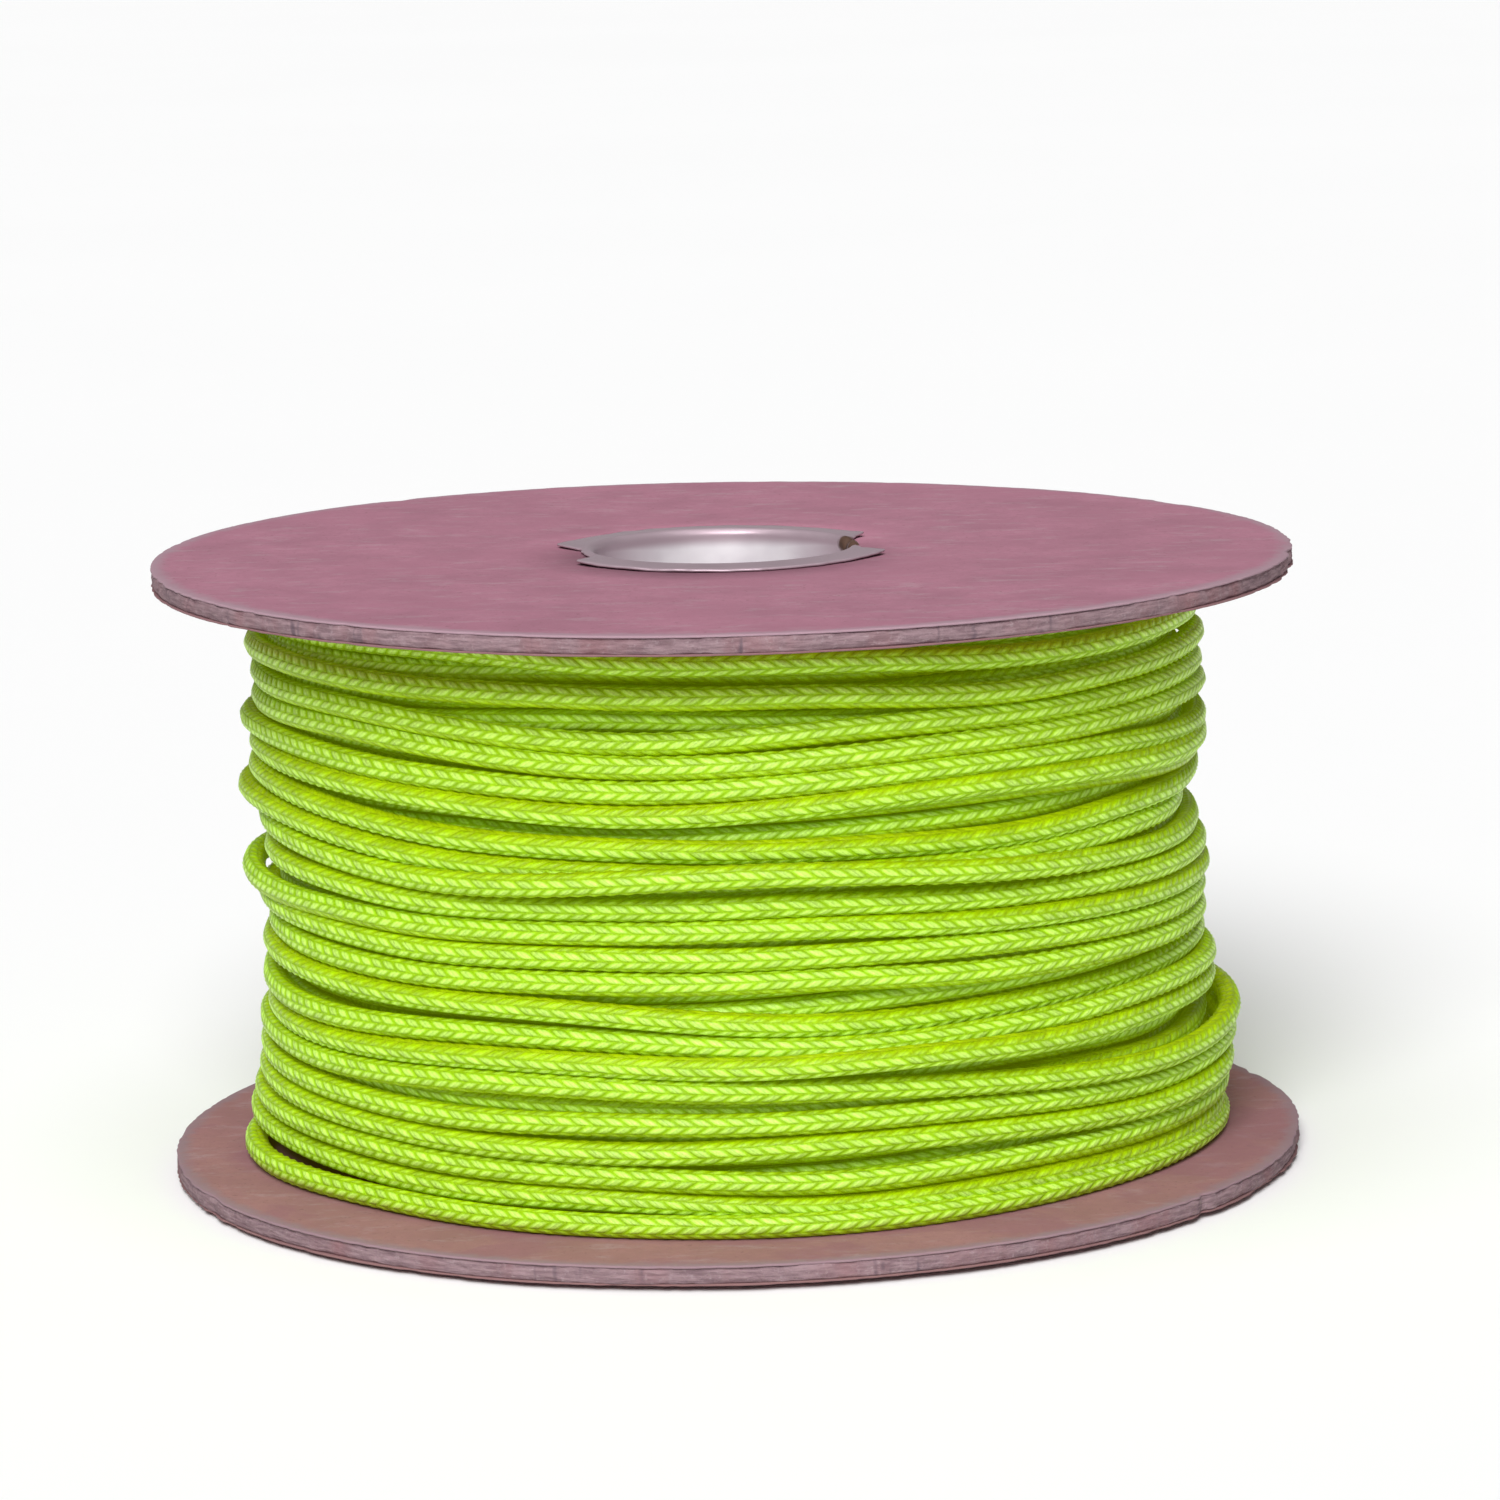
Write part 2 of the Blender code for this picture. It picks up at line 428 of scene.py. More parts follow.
def lay_cord():
    """Lays the cord turn by turn: at each step it drops onto what lies below, and slides towards the groove.

    Returns the height and radius of the centreline at each step.
    """
    rng = np.random.default_rng(WINDING_SEED)
    count = LAYERS * TURNS_PER_LAYER * COLUMNS
    guide = np.pad(np.clip(guide_heights(rng, count), LOWEST, HIGHEST), (0, TAIL), mode="edge")
    count += TAIL
    height = np.full(count, guide[0])
    radius = np.full(count, BARREL_RADIUS + CORD_DIAMETER / 2)
    shifts = np.linspace(-STEP_SLOPE, STEP_SLOPE, 9)
    for i in range(1, count):
        tries = np.clip(height[i - 1] + shifts, LOWEST, HIGHEST)
        under = np.arange(i - COLUMNS, max(-1, i - UNDER_TURNS * COLUMNS), -COLUMNS)
        rest = np.full(len(tries), BARREL_RADIUS + CORD_DIAMETER / 2)
        if len(under):
            apart = (tries[:, None] - height[under]) / SIDE_PITCH
            stacked = radius[under] + STACK_PITCH * np.sqrt(np.maximum(0.0, 1 - apart**2))
            rest = np.maximum(rest, np.where(np.abs(apart) < 1, stacked, 0.0).max(axis=1))
        cost = (rest + HOLD * (tries - guide[i]) ** 2 / CORD_DIAMETER) / CORD_DIAMETER
        best = int(cost.argmin())
        height[i] = tries[best]
        radius[i] = rest[best]
        if i % COLUMNS == 0:
            start = max(0, i - 2 * COLUMNS)
            done = max(0, i - COLUMNS - FRESH)
            taut = smoothed(closed_dips(radius[start : i + 1], BRIDGED), 2.0)
            radius[done : i - FRESH] = taut[done - start : i - FRESH - start]
    height, radius = loosened(height, radius)
    return smoothed(height, 2.5), smoothed(radius, 1.5)


def between(values, step):
    """Values read between the steps on a smooth (Catmull-Rom) curve."""
    i = np.clip(step.astype(int), 1, len(values) - 3)
    t = step - i
    a, b, c, d = (values[i + k] for k in (-1, 0, 1, 2))
    return b + 0.5 * t * (c - a + t * (2 * a - 5 * b + 4 * c - d + t * (3 * (b - c) + d - a)))


def frames(height, radius, step):
    """(points, outward directions, directions along the cord) of the centreline at fractional steps."""
    ahead = 0.05
    r, z = between(radius, step), between(height, step)
    grow = (between(radius, step + ahead) - r) / ahead
    rise = (between(height, step + ahead) - z) / ahead
    angle = 2 * pi * step / COLUMNS
    c, s, zero = np.cos(angle), np.sin(angle), np.zeros_like(angle)
    out = np.stack([c, s, zero], axis=-1)
    points = np.stack([r * c, r * s, z], axis=-1)
    around = (r * 2 * pi / COLUMNS)[..., None] * np.stack([-s, c, zero], axis=-1)
    along = around + out * grow[..., None] + np.stack([zero, zero, rise], axis=-1)
    along /= np.linalg.norm(along, axis=-1, keepdims=True)
    out = out - along * (out * along).sum(axis=-1, keepdims=True)
    return points, out / np.linalg.norm(out, axis=-1, keepdims=True), along


def measured_from_end(height, radius):
    """The last CORD_LENGTH of the laid cord, as distances along it and the steps they are at."""
    step = np.arange(1.0, len(height) - 2, 1 / 8)
    points = frames(height, radius, step)[0]
    run = np.concatenate([[0.0], np.cumsum(np.linalg.norm(np.diff(points, axis=0), axis=1))])
    keep = run >= run[-1] - CORD_LENGTH
    return run[keep] - run[keep][0], step[keep]


# ------------------------------------------------------------------ the braid

BRAID_COLUMNS = 8
STITCH = 0.0020  # length of one stitch along the cord
STITCH_LEAN = 0.0007  # how far a stitch runs along the cord from its middle to its column's edge
RELIEF = 0.0002  # height of a crown over a valley
WRAP_MAP = "OFBake"  # the map of each corner's place round the cord and along it
WRAP_STITCHES = 32  # the stitches that one repeat of the wrap map holds
MIDDLE_SIZE = 0.00138  # half the thickness of the braid, between its crowns and its valleys
FULL_TURNS = 25  # the cord's last turns, which show, and whose stitches are modelled in relief
OUTER_TURNS = 44  # its last turns that may show at all. Those before them are modelled coarsely


def braid_tube(cord, start, stop, rings_per_stitch, sides):
    """Rings of corners along a stretch of the cord, as an array (ring, side, 3).

    A ring zigzags along the cord, so that stitches lean one way in one column and the other way in the next.
    """
    height, radius, run, step, twist = cord
    count = max(2, int((stop - start) / STITCH * rings_per_stitch))
    column = np.arange(sides) * BRAID_COLUMNS / sides
    along = np.linspace(start, stop, count + 1)
    place = np.clip(along[:, None] + STITCH_LEAN * np.cos(pi * column), run[0], run[-1])
    points, out, forward = frames(height, radius, np.interp(place, run, step))
    across = np.cross(forward, out)
    angle = 2 * pi * column / BRAID_COLUMNS + np.interp(along, run, twist)[:, None]
    stitch = np.arange(count + 1)[:, None] / rings_per_stitch
    stagger = 0.5 * (np.floor(column) % 2)
    wave = np.cos(2 * pi * (stitch + stagger - 0.5)) * np.sin(pi * column) ** 2
    size = MIDDLE_SIZE + (RELIEF / 2 * wave if rings_per_stitch > 2 else 0 * wave)
    from_end = np.clip(np.minimum(along - run[0], run[-1] - along)[:, None] / MIDDLE_SIZE, 0.0, 1.0)
    size = size * np.sqrt(from_end * (2 - from_end) + 0.0025)
    return points + out * (size * np.cos(angle))[..., None] + across * (size * np.sin(angle))[..., None]


def cord_mesh(name, stretches):
    """One mesh of the stretches, each (corners, rings per stitch), with its wrap map."""
    points, faces, maps, shift = [], [], [], 0
    for corners, rings_per_stitch in stretches:
        rings, sides = corners.shape[:2]
        quads, i, j = grid_faces(rings, sides, rings - 1, sides)
        faces.append(shift + quads)
        v0 = (i / rings_per_stitch) % WRAP_STITCHES / WRAP_STITCHES
        v1 = v0 + 1 / rings_per_stitch / WRAP_STITCHES
        u0, u1 = j / sides, (j + 1) / sides
        maps.append(np.stack([u0, v0, u1, v0, u1, v1, u0, v1], 1).reshape(-1, 2))
        for first, order in ((0, -1), ((rings - 1) * sides, 1)):
            k = np.arange(sides // 2 - 1)
            cap = np.stack([k, k + 1, sides - 2 - k, sides - 1 - k], axis=1)[:, ::order]
            faces.append(shift + first + cap)
            maps.append(np.full((4 * len(cap), 2), 0.5 / WRAP_STITCHES))
        points.append(corners.reshape(-1, 3))
        shift += rings * sides
    piece = quad_mesh(name, np.concatenate(points), np.concatenate(faces))
    maps = np.concatenate(maps).astype(np.float32)
    piece.data.uv_layers.new(name=WRAP_MAP).data.foreach_set("uv", maps.ravel())
    return piece


def braid_material():
    """Fluorescent yarn, two strands to a stitch, with painted light: a painted highlight on the crowns,
    painted olive shade where turns meet, and a faint painted glow.
    """
    material, tree, shader = new_material("braid")
    wrap = node(tree, "ShaderNodeUVMap", uv_map=WRAP_MAP).outputs[0]
    split = node(tree, "ShaderNodeSeparateXYZ", {0: wrap}).outputs
    column = maths(tree, "MULTIPLY", split[0], float(BRAID_COLUMNS))
    column_number = maths(tree, "FLOOR", column)
    stagger = maths(tree, "MULTIPLY", maths(tree, "MODULO", column_number, 2.0), 0.5)
    stitch = maths(tree, "ADD", maths(tree, "MULTIPLY", split[1], float(WRAP_STITCHES)), stagger)
    stitch_number = maths(tree, "FLOOR", stitch)
    across, ends = from_middle(tree, stitch), from_middle(tree, column)
    side_fall = maths(tree, "POWER", maths(tree, "ABSOLUTE", across), 2.0)
    end_fall = maths(tree, "POWER", maths(tree, "ABSOLUTE", ends), 3.0)
    crown_sides = maths(tree, "SUBTRACT", 1.0, side_fall)
    crown = maths(tree, "MULTIPLY", crown_sides, maths(tree, "SUBTRACT", 1.0, end_fall))
    seed = node(tree, "ShaderNodeCombineXYZ", {0: column_number, 1: stitch_number}).outputs[0]
    chance = node(tree, "ShaderNodeTexWhiteNoise", {"Vector": seed}, noise_dimensions="3D").outputs[0]
    filament = maths(tree, "SINE", maths(tree, "MULTIPLY", across, 17.0))
    turn = maths(tree, "MULTIPLY", split[0], 2 * pi)
    outward = maths(tree, "COSINE", turn)
    # Painted highlight and shade: the middle of each stitch is made pale and yellowish, and the valleys
    # between stitches darker.
    crown_light_and_valley_shade = between_limits(tree, crown, 0.25, 0.95)
    # Painted shade: round the cord, the part that faces out keeps the lit colours, while its upper and lower
    # sides, where turns meet, are darker and more olive.
    painted_lit_share = between_limits(tree, outward, 0.3, 0.95)
    facing = mixed(tree, crown_light_and_valley_shade, (0.275, 0.52, 0.003), (0.535, 0.835, 0.135))
    painted_side_shade = mixed(tree, crown_light_and_valley_shade, (0.30, 0.46, 0.0), (0.36, 0.60, 0.0))
    body = mixed(tree, painted_lit_share, painted_side_shade, facing)
    # Painted shade: the part turned in towards the turns below is darker olive still.
    body = mixed(tree, between_limits(tree, outward, -0.5, 0.4), (0.33, 0.45, 0.0), body)
    # Painted glints: fine random specks lighter than the yarn, with some darker ones among them. The
    # per-stitch tone that varies at random is the yarn's own.
    painted_glints = between_limits(tree, noise(tree, object_place(tree), 2600.0, 2.0, 0.7), 0.35, 0.7, -0.1, 0.12)
    shade = maths(tree, "ADD", painted_glints, between_limits(tree, chance, 0.0, 1.0, 0.84, 1.08))
    # Painted shade: a dark line down the middle of each stitch, for the groove between its two strands.
    split_shade = between_limits(tree, maths(tree, "ABSOLUTE", across), 0.0, 0.3, -0.16, 0.03)
    tone = maths(tree, "ADD", maths(tree, "ADD", shade, split_shade), maths(tree, "MULTIPLY", filament, 0.04))
    grey = node(tree, "ShaderNodeCombineXYZ", {0: tone, 1: tone, 2: tone}).outputs[0]
    tree.links.new(mixed(tree, 1.0, body, grey, "MULTIPLY"), shader.inputs["Base Color"])
    tree.links.new(between_limits(tree, crown, 0.0, 0.9, 0.5, 0.33), shader.inputs["Roughness"])
    shader.inputs["Specular IOR Level"].default_value = 0.22
    # Painted light: a constant faint yellow glow, which lifts the cord's shade.
    shader.inputs["Emission Color"].default_value = (0.04, 0.05, 0.0, 1.0)
    shader.inputs["Emission Strength"].default_value = 1.0
    relief = maths(tree, "ADD", crown, maths(tree, "MULTIPLY", filament, 0.08))
    bump(tree, shader, relief, 0.0001)
    return material


def make_cord():
    """The whole cord in one mesh, which twists a little to and fro along its length."""
    height, radius = lay_cord()
    run, step = measured_from_end(height, radius)
    rng = np.random.default_rng(SEED + 1)
    twist = smoothed(rng.normal(size=len(run)), 150)
    twist = np.clip(twist * 0.4 / twist.std(), -0.6, 0.6)
    cord = (height, radius, run, step, twist)
    starts = [step[-1] - turns * COLUMNS for turns in (OUTER_TURNS, FULL_TURNS)]
    outer, full = run[np.searchsorted(step, starts)]
    stretches = [
        (braid_tube(cord, run[0], outer, 0.5, 8), 0.5),
        (braid_tube(cord, outer, full, 1, 16), 1),
        (braid_tube(cord, full, run[-1], 4, 16), 4),
    ]
    piece = cord_mesh("cord", stretches)
    line = leaned(frames(height, radius, step[::4])[0])
    settle(piece, braid_material(), "braided_cord", "cord_winding")


# ------------------------------------------------------------------ the flanges

RIM_STEPS = 900
HOLE_RADIUS = 0.0165
GLUE_LINE = 0.0001  # the paste between board and paper, which the board's mesh takes in
PAPER_INSET = 0.00005  # how far the papers stop short of the board's rim
RIM_WEAR = 0.00022  # how far the rim's two edges are worn back

# Damage at the rims: (flange, angle in degrees, depth of the bite, spread in degrees)
BITES = (
    ("top", 33, 0.0006, 2.2),
    ("top", -9, 0.0005, 1.6),
    ("top", 232, 0.0003, 0.8),
    ("top", 251, 0.0002, 0.5),
    ("top", 128, 0.0005, 1.4),
    ("top", 71, 0.0003, 0.7),
    ("bottom", 322, 0.0005, 0.8),
    ("bottom", 205, 0.0003, 1.3),
    ("bottom", 96, 0.0006, 1.5),
    ("bottom", 18, 0.0004, 1.0),
)


def rim_bites(side, angle):
    """How deep the damage goes at each angle."""
    return sum(depth * bell(angle, middle, spread) for name, middle, depth, spread in BITES if name == side)


def warp(side, radius, angle):
    """How far a flange's board stands off its plane: a slight twist that grows towards the rim."""
    lift, turn = (0.00018, 0.9) if side == "top" else (0.00012, 2.3)
    return lift * (radius / FLANGE_RADIUS) ** 2 * np.cos(2 * angle[:, None] + turn)


def board_piece(side, rng, material):
    """The pressed board: its rim is worn round at both edges, fuzzy, and bitten where it was knocked."""
    name = f"{side}_flange_board"
    low, high = (corner[2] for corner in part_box(name))
    low, high = low - GLUE_LINE, high + GLUE_LINE
    angle = np.linspace(0.0, 2 * pi, RIM_STEPS, endpoint=False)
    across = np.linspace(0.0, 1.0, 9)
    edge = RIM_WEAR * np.abs(2 * across - 1) ** 3
    fuzz = np.stack([ring_noise(rng, RIM_STEPS, 0.8) for _ in across], axis=1) * 0.00006
    drift = ring_noise(rng, RIM_STEPS, 12)[:, None] * 0.00006
    rim = FLANGE_RADIUS - 0.0001 - edge + np.minimum(fuzz + drift - rim_bites(side, angle)[:, None], 0.0001)
    rim_height = np.broadcast_to(high + (low - high) * across, rim.shape)
    inner = np.full((RIM_STEPS, 2), HOLE_RADIUS)
    inner_height = np.broadcast_to([low, high], inner.shape)
    radius = np.concatenate([rim, inner], axis=1)
    height = np.concatenate([rim_height, inner_height], axis=1) + warp(side, radius, angle)
    settle(turned(name + "_worn", radius, height, angle), material, "grey_board", name)


def faces_up(side, face):
    """Whether a facing paper's seen side is its upper one."""
    return (side == "top") == (face == "outer")


def paper_piece(side, face, rng, material):
    """A facing paper, whose outer edge is rubbed down over the board and frayed."""
    name = f"{side}_flange_{face}_paper"
    low, high = (corner[2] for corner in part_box(name))
    upward = faces_up(side, face)
    angle = np.linspace(0.0, 2 * pi, RIM_STEPS, endpoint=False)
    fray = ring_noise(rng, RIM_STEPS, 0.9) * 0.00007 + ring_noise(rng, RIM_STEPS, 9) * 0.0001
    edge = (FLANGE_RADIUS - PAPER_INSET + np.minimum(fray, 0.0001) - 1.1 * rim_bites(side, angle))[:, None]
    shown, hidden = (high, low) if upward else (low, high)
    inwards = np.array([0.0, 0.00012, 0.0004, 0.0009, 0.002, 0.004, 0.008, 0.014, 0.022, 0.032, 0.043])
    rubbed = np.array([0.6, 0.82, 0.95, 1.0, 1.0, 1.0, 1.0, 1.0, 1.0, 1.0, 1.0])
    seen_radius = edge - inwards
    seen_height = np.broadcast_to(hidden + (shown - hidden) * rubbed, seen_radius.shape)
    ridges = np.stack([ring_noise(rng, RIM_STEPS, 30) for _ in inwards], axis=1) * 0.00002
    seen_height = seen_height + np.where(inwards > 0.001, ridges, 0.0)
    hole = np.full((RIM_STEPS, 1), HOLE_RADIUS)
    seen_radius = np.concatenate([seen_radius, hole], axis=1)
    seen_height = np.concatenate([seen_height, np.full_like(hole, shown)], axis=1)
    back_radius = np.concatenate([hole, edge], axis=1)
    back_height = np.full_like(back_radius, hidden)
    radius = np.concatenate([seen_radius, back_radius], axis=1)
    height = np.concatenate([seen_height, back_height], axis=1) + warp(side, radius, angle)
    if upward:
        radius, height = radius[:, ::-1], height[:, ::-1]
    settle(turned(name + "_worn", radius, height, angle), material, "pink_paper", name)


def paper_material(name, tint, stain_tint, edge_wear_and_shade_tint):
    """Dusty-rose facing paper: mottled, and scuffed in faint streaks. Its edge takes a tint: paler where it
    is rubbed on an upward face, and darker with painted shade on a downward one.
    """
    material, tree, shader = new_material(name)
    place = object_place(tree)
    cloudy = noise(tree, place, 90.0, 5.0, 0.7)
    grain = noise(tree, place, 900.0, 3.0, 0.7)
    streaks = noise(tree, stretched(tree, place, (0.4, 1.0, 1.0)), 420.0, 4.0, 0.7)
    specks = between_limits(tree, noise(tree, place, 1500.0, 1.0, 0.5), 0.68, 0.74)
    dark = tuple(0.9 * c for c in tint)
    light = tuple(1.1 * c for c in tint)
    colour = mixed(tree, between_limits(tree, cloudy, 0.3, 0.7), dark, light)
    grey = (0.42, 0.30, 0.33)
    colour = mixed(tree, between_limits(tree, streaks, 0.5, 0.72, 0.0, 0.45), colour, grey)
    colour = mixed(tree, between_limits(tree, grain, 0.4, 0.7, 0.0, 0.5), colour, dark)
    colour = mixed(tree, maths(tree, "MULTIPLY", specks, 0.35), colour, (0.16, 0.08, 0.08))
    stains = noise(tree, place, 45.0, 4.0, 0.6, 0.5)
    colour = mixed(tree, between_limits(tree, stains, 0.5, 0.6, 0.0, 0.5), colour, stain_tint)
    # The edge tint: on an upward face, paler paper where the edge is rubbed; on a downward face, a dark tint
    # that is painted shade.
    frayed = maths(tree, "MULTIPLY", noise(tree, place, 350.0, 5.0, 0.75), 0.0036)
    ragged = maths(tree, "ADD", from_axis(tree, place), frayed)
    rubbed = between_limits(tree, ragged, FLANGE_RADIUS - 0.0006, FLANGE_RADIUS + 0.0016, 0.0, 0.85)
    colour = mixed(tree, rubbed, colour, edge_wear_and_shade_tint)
    tree.links.new(colour, shader.inputs["Base Color"])
    tree.links.new(between_limits(tree, cloudy, 0.3, 0.7, 0.78, 0.92), shader.inputs["Roughness"])
    shader.inputs["Specular IOR Level"].default_value = 0.25
    bump(tree, shader, maths(tree, "ADD", grain, streaks), 0.00008, 0.6)
    return material


def board_material():
    """Pressed grey board seen at its rim: thin layers, torn fibres, and dark ticks across them that are
    painted shade in small cracks.
    """
    material, tree, shader = new_material("board_rim")
    place = object_place(tree)
    layers = noise(tree, stretched(tree, place, (0.12, 0.12, 1.0)), 2600.0, 3.0, 0.65)
    fibres = noise(tree, place, 1400.0, 4.0, 0.75)
    patches = noise(tree, stretched(tree, place, (1.0, 1.0, 0.25)), 130.0, 3.0, 0.6)
    nicks = noise(tree, stretched(tree, place, (1.0, 1.0, 0.15)), 520.0, 2.0, 0.6)
    colour = mixed(tree, between_limits(tree, layers, 0.3, 0.7), (0.18, 0.115, 0.13), (0.31, 0.21, 0.23))
    colour = mixed(tree, between_limits(tree, patches, 0.45, 0.75, 0.0, 0.6), colour, (0.26, 0.12, 0.13))
    colour = mixed(tree, between_limits(tree, fibres, 0.5, 0.8, 0.0, 0.7), colour, (0.39, 0.30, 0.32))
    # Painted shade: dark ticks across the layers, for the shade in small cracks.
    colour = mixed(tree, between_limits(tree, nicks, 0.62, 0.74, 0.0, 0.7), colour, (0.10, 0.07, 0.09))
    tree.links.new(colour, shader.inputs["Base Color"])
    tree.links.new(between_limits(tree, fibres, 0.3, 0.7, 0.85, 1.0), shader.inputs["Roughness"])
    shader.inputs["Specular IOR Level"].default_value = 0.15
    bump(tree, shader, maths(tree, "ADD", fibres, layers), 0.00015)
    return material


def make_flanges():
    """Both flanges. The lower one is browner than the upper one."""
    rng = np.random.default_rng(SEED + 2)
    rim = board_material()
    tints = {
        "bottom": ((0.335, 0.165, 0.170), (0.28, 0.120, 0.155), (0.28, 0.19, 0.22)),
        "top": ((0.378, 0.168, 0.228), (0.37, 0.160, 0.220), (0.35, 0.24, 0.28)),
    }
    for side, (tint, stain_tint, rubbed_tint) in tints.items():
        board_piece(side, rng, rim)
        for face in ("outer", "inner"):
            # A downward face's edge gets a dark tint, which is painted shade. An upward face's edge gets the
            # paler rubbed tint.
            edge_wear_and_shade_tint = rubbed_tint if faces_up(side, face) else (0.22, 0.12, 0.12)
            material = paper_material(f"{side}_{face}_paper", tint, stain_tint, edge_wear_and_shade_tint)
            paper_piece(side, face, rng, material)


# ------------------------------------------------------------------ the tin core

TIN_STEPS = 720
TUBE_RADIUS = 0.0160
TIN = 0.0003  # the tin's thickness
FLARE = 0.0006  # the radius of the bend from the tube out to its lip
DROOP = 0.00026  # how far the lip leans down onto the paper

# The torn lip round the top: (angle in degrees, radius, how far the edge curls off the paper)
LIP = (
    (0, 0.0169, 0.0000),
    (20, 0.0171, 0.0000),
    (26, 0.0186, 0.0003),
    (29, 0.0203, 0.0006),
    (36, 0.0201, 0.0003),
    (60, 0.0199, 0.0001),
    (98, 0.0200, 0.0001),
    (135, 0.0198, 0.0001),
    (158, 0.0202, 0.0002),
    (168, 0.0208, 0.0005),
    (171, 0.0196, 0.0004),
    (178, 0.0172, 0.0001),
    (203, 0.0170, 0.0000),
    (209, 0.0192, 0.0003),
    (213, 0.0209, 0.0006),
    (222, 0.0206, 0.0003),
    (244, 0.0205, 0.0000),
    (262, 0.0204, 0.0001),
    (270, 0.0206, 0.0000),
    (300, 0.0205, 0.0001),
    (328, 0.0207, 0.0003),
    (340, 0.0212, 0.0007),
    (343, 0.0196, 0.0005),
    (350, 0.0172, 0.0001),
    (360, 0.0169, 0.0000),
)

# Tears in the tube's end, where its lap seam gave way: (angle in degrees, depth, spread in degrees)
TEARS = ((1, 0.0016, 4.0), (15, 0.0008, 2.5))


def arc(centre, radius, start, end, count):
    """(radii, heights) of points on an arc of a profile, ends included. Degrees."""
    turn = np.radians(np.linspace(start, end, count))
    return centre[0] + radius * np.cos(turn), centre[1] + radius * np.sin(turn)


def tube_end(angle, rng, curled):
    """The flared end's profile at each angle, from outside to inside: radii, and heights from the tube's end.

    The lip's edge curls off the paper by this share of the listed curl.
    """
    at = np.degrees(angle)
    reach, curl = (np.interp(at, [row[0] for row in LIP], [row[k] for row in LIP]) for k in (1, 2))
    reach = reach + 0.00005 * ring_noise(rng, TIN_STEPS, 2.5) + 0.00005 * ring_noise(rng, TIN_STEPS, 10)
    curl = curled * (curl + 0.00004 * ring_noise(rng, TIN_STEPS, 8) ** 2)
    tear = sum(depth * bell(np.radians(at), middle, spread) for middle, depth, spread in TEARS)
    bend = (TUBE_RADIUS + FLARE, -TIN - FLARE)
    outer_r, outer_z = arc(bend, FLARE, 180, 90, 6)
    inner_r, inner_z = arc(bend, FLARE + TIN, 90, 180, 9)
    share = np.linspace(0.0, 1.0, 6)[1:]
    lip_r = outer_r[-1] + (reach[:, None] - outer_r[-1]) * share
    rise = curl[:, None] * share**2 - DROOP * share
    edge_r = (reach + 0.00008)[:, None]
    ones = np.ones((TIN_STEPS, 1))
    radius = [ones * outer_r, lip_r, edge_r, lip_r[:, ::-1], ones * inner_r]
    height = [ones * outer_z, rise - TIN, rise[:, -1:] - TIN / 2, rise[:, ::-1], ones * inner_z]
    return np.concatenate(radius, axis=1), np.concatenate(height, axis=1) - tear[:, None]


def make_core():
    """The tin tube. Its upper lip curls a little off the paper, and its lower one lies flat."""
    rng = np.random.default_rng(SEED + 3)
    angle = np.linspace(0.0, 2 * pi, TIN_STEPS, endpoint=False)
    top_r, top_z = tube_end(angle, rng, 0.5)
    low_r, low_z = tube_end(angle, rng, 0.0)
    radius = np.concatenate([top_r[:, ::-1], low_r], axis=1)
    height = np.concatenate([TIN_TOP + top_z[:, ::-1], -low_z], axis=1)
    settle(turned("tin_core", radius, height, angle), tin_material(), "tin_plate", "core_tube")


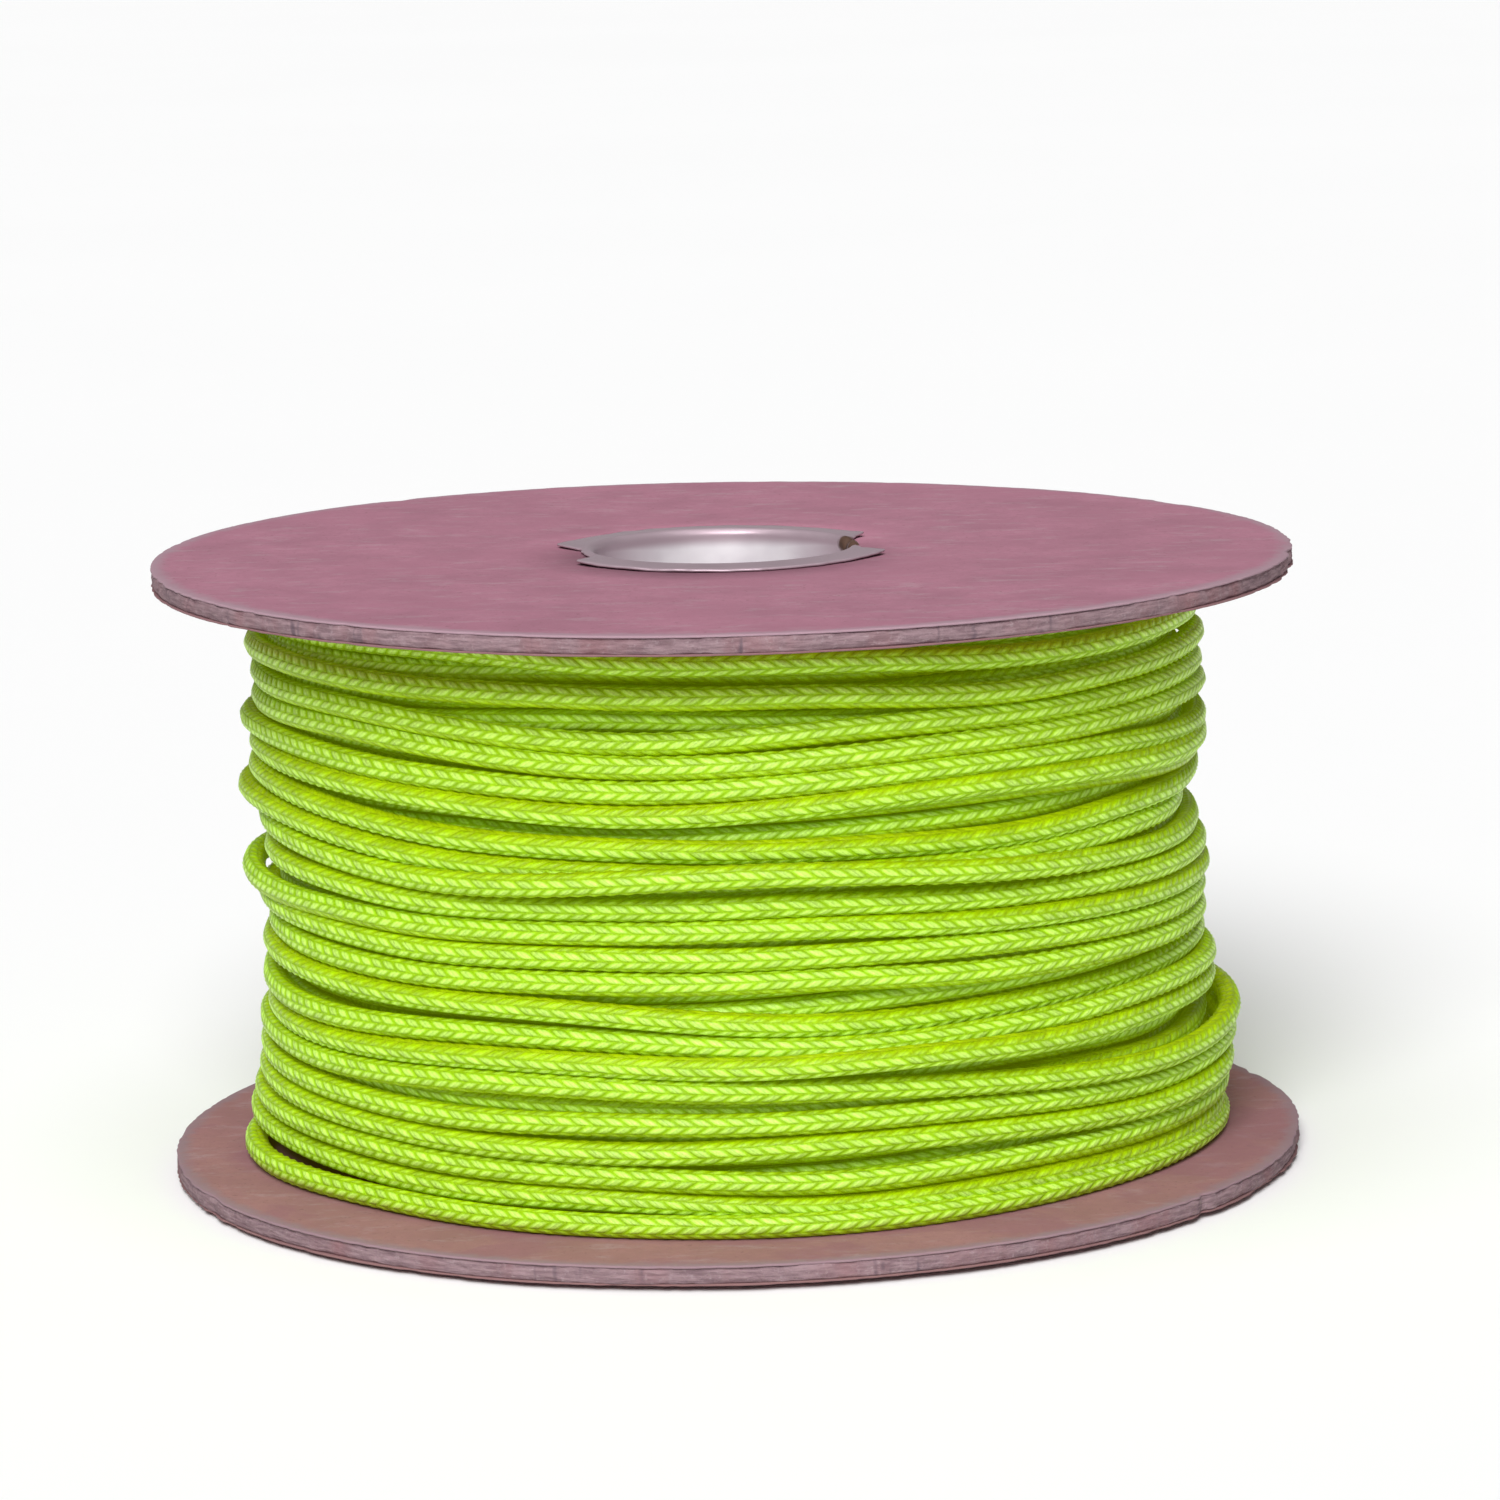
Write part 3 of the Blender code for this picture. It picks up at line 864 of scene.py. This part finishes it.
def tin_material():
    """Bright tin plate: streaked along the tube, dulled in clouds, and rusty where its seam tore. Its pink
    and mauve tints are painted reflection and shade, except on the lip, where the mauve is partly dulled tin.
    """
    material, tree, shader = new_material("tin")
    place = object_place(tree)
    streaks = noise(tree, stretched(tree, place, (1.0, 1.0, 0.08)), 900.0, 3.0, 0.6)
    clouds = noise(tree, place, 160.0, 3.0, 0.6)
    scratches = noise(tree, stretched(tree, place, (0.4, 1.0, 1.0)), 1600.0, 2.0, 0.7)
    # The pale tin leans slightly pink: a painted reflection of the paper.
    colour = mixed(tree, between_limits(tree, clouds, 0.3, 0.7), (0.84, 0.79, 0.83), (0.92, 0.88, 0.91))
    split = node(tree, "ShaderNodeSeparateXYZ", {0: place}).outputs
    radius = from_axis(tree, place)
    # Painted reflection and shade: towards mauve on the tube's sides at plus and minus X, and in a band just
    # under its top end, as painted shade under the lip. On the lip itself the mauve is partly dulled, dirty
    # tin and partly painted reflection of the pink paper.
    on_side = between_limits(tree, maths(tree, "ABSOLUTE", split[0]), 0.006, TUBE_RADIUS, 0.0, 0.85)
    on_lip = between_limits(tree, radius, TUBE_RADIUS + 0.0001, TUBE_RADIUS + 0.0007, 0.0, 0.8)
    under_lip = between_limits(tree, split[2], TIN_TOP - 0.0026, TIN_TOP - 0.0011, 0.0, 0.9)
    painted_reflection_and_dull_lip = maths(tree, "MAXIMUM", on_lip, maths(tree, "MAXIMUM", on_side, under_lip))
    colour = mixed(tree, painted_reflection_and_dull_lip, colour, (0.42, 0.30, 0.35))
    rust_noise = noise(tree, place, 900.0, 4.0, 0.7)
    rust = 0.0
    for tear_angle, _, _ in TEARS:
        turn = radians(tear_angle)
        spot = (TUBE_RADIUS * cos(turn), TUBE_RADIUS * sin(turn), TIN_TOP)
        apart = node(tree, "ShaderNodeVectorMath", {0: place, 1: spot}, operation="DISTANCE").outputs[1]
        ragged = maths(tree, "ADD", apart, maths(tree, "MULTIPLY", rust_noise, 0.0016))
        here = between_limits(tree, ragged, 0.0026, 0.0036, 1.0, 0.0)
        rust = maths(tree, "MAXIMUM", here, rust)
    colour = mixed(tree, rust, colour, (0.075, 0.035, 0.02))
    tree.links.new(colour, shader.inputs["Base Color"])
    bare = maths(tree, "SUBTRACT", 1.0, rust)
    tree.links.new(maths(tree, "MULTIPLY", bare, 0.4), shader.inputs["Metallic"])
    dulled = between_limits(tree, clouds, 0.3, 0.75, 0.36, 0.5)
    worn = maths(tree, "ADD", dulled, maths(tree, "MULTIPLY", rust, 0.4))
    tree.links.new(worn, shader.inputs["Roughness"])
    bump(tree, shader, maths(tree, "ADD", streaks, maths(tree, "MULTIPLY", scratches, 0.5)), 0.00002, 0.5)
    return material


# ------------------------------------------------------------------ the barrel and the floor


def barrel_material():
    """Brown paperboard, cloudy and fibrous."""
    material, tree, shader = new_material("barrel_board_wound")
    place = object_place(tree)
    fibres = noise(tree, place, 700.0, 4.0, 0.7)
    clouds = noise(tree, place, 60.0, 2.0, 0.5)
    colour = mixed(tree, between_limits(tree, clouds, 0.3, 0.7), (0.30, 0.21, 0.13), (0.40, 0.30, 0.20))
    colour = mixed(tree, between_limits(tree, fibres, 0.5, 0.8, 0.0, 0.5), colour, (0.50, 0.40, 0.29))
    tree.links.new(colour, shader.inputs["Base Color"])
    tree.links.new(between_limits(tree, fibres, 0.3, 0.7, 0.8, 0.95), shader.inputs["Roughness"])
    bump(tree, shader, fibres, 0.0001)
    return material


def floor_material():
    """A pale matt studio floor with a faint tone."""
    material, tree, shader = new_material("studio_floor")
    tone = noise(tree, object_place(tree), 3.0, 2.0, 0.5)
    tree.links.new(mixed(tree, tone, (0.91, 0.91, 0.91), (0.93, 0.93, 0.93)), shader.inputs["Base Color"])
    shader.inputs["Roughness"].default_value = 0.9
    shader.inputs["Specular IOR Level"].default_value = 0.1
    return material


def make_floor():
    reach = 12.0
    corners = [(-reach, -reach, 0.0), (reach, -reach, 0.0), (reach, reach, 0.0), (-reach, reach, 0.0)]
    mesh = bpy.data.meshes.new("floor")
    mesh.from_pydata(corners, [], [(0, 1, 2, 3)])
    floor = bpy.data.objects.new("floor", mesh)
    bpy.context.scene.collection.objects.link(floor)
    mesh.materials.append(floor_material())


place_camera()
make_cord()
make_flanges()
make_core()
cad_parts["barrel_tube"].data.materials.clear()
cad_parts["barrel_tube"].data.materials.append(barrel_material())
place_lights()
make_floor()
